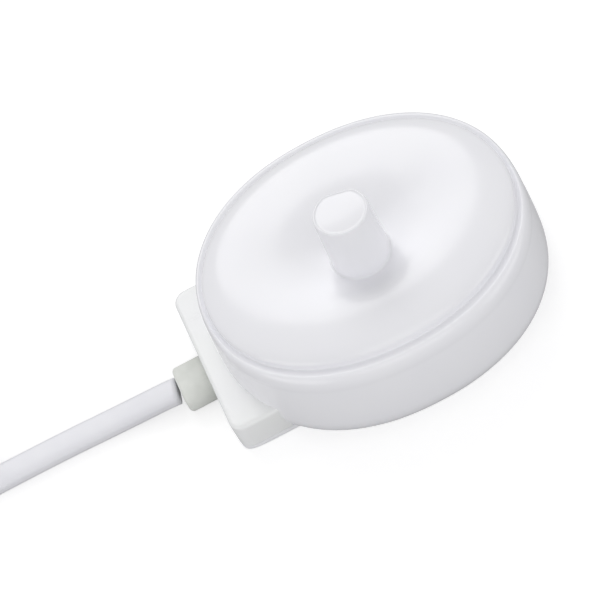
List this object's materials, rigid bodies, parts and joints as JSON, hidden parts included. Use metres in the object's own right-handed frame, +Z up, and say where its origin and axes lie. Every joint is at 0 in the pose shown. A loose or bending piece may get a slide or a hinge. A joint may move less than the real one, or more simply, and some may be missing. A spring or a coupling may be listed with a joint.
{
  "type": "toothbrush charging base",
  "caption": "White oval inductive charging base with a short D-shaped post in a shallow dish, a rear cord block, a flat mains lead and a flat two-pin plug.",
  "frame": {"origin": "on the surface it stands on, under the middle of the base with its grommet", "axes": "+Z up, +Y towards the rear where the lead leaves, +X to the right seen from the front"},
  "size_m": [0.0997, 0.2258, 0.035],
  "materials": {
    "housing_plastic": "glossy white ABS moulding",
    "block_plastic": "glossy white ABS moulding, a little warmer",
    "base_plastic": "satin white ABS moulding",
    "grommet_rubber": "satin light grey TPE",
    "lead_sheath": "satin white flexible PVC",
    "board_laminate": "green solder-masked laminate",
    "bobbin_nylon": "natural nylon moulding",
    "winding_copper": "enamelled copper wire winding",
    "ferrite": "matte sintered ferrite",
    "capacitor_yellow": "yellow epoxy case",
    "capacitor_sleeve": "shrunk dark blue sleeve",
    "component_black": "black moulded epoxy",
    "resistor_ceramic": "blue-grey fireproof coating",
    "steel_zinc": "zinc-plated steel",
    "pin_nickel": "nickel-plated brass",
    "wire_blue": "blue PVC insulation",
    "wire_brown": "brown PVC insulation"
  },
  "bodies": {
    "root": {"top_housing": "housing_plastic", "cord_block": "block_plastic", "base_plate": "base_plastic", "grommet": "grommet_rubber", "inner_cord_end": "lead_sheath", "cord_clamp": "base_plastic", "clamp_screw_left": "steel_zinc", "clamp_screw_right": "steel_zinc", "coil_bobbin": "bobbin_nylon", "charging_coil": "winding_copper", "ferrite_core": "ferrite", "circuit_board": "board_laminate", "film_capacitor": "capacitor_yellow", "electrolytic_capacitor": "capacitor_sleeve", "filter_choke": "component_black", "switching_transistor": "component_black", "fusible_resistor": "resistor_ceramic", "diode_1": "component_black", "diode_2": "component_black", "diode_3": "component_black", "diode_4": "component_black", "neutral_wire": "wire_blue", "live_wire": "wire_brown", "cord_run": "lead_sheath", "cord_coil": "lead_sheath", "cord_tie": "grommet_rubber", "cord_tail": "lead_sheath", "plug_strain_relief": "lead_sheath", "plug_body": "lead_sheath", "plug_sleeve_left": "component_black", "plug_sleeve_right": "component_black", "plug_pin_left": "pin_nickel", "plug_pin_right": "pin_nickel"}
  },
  "joints": []
}
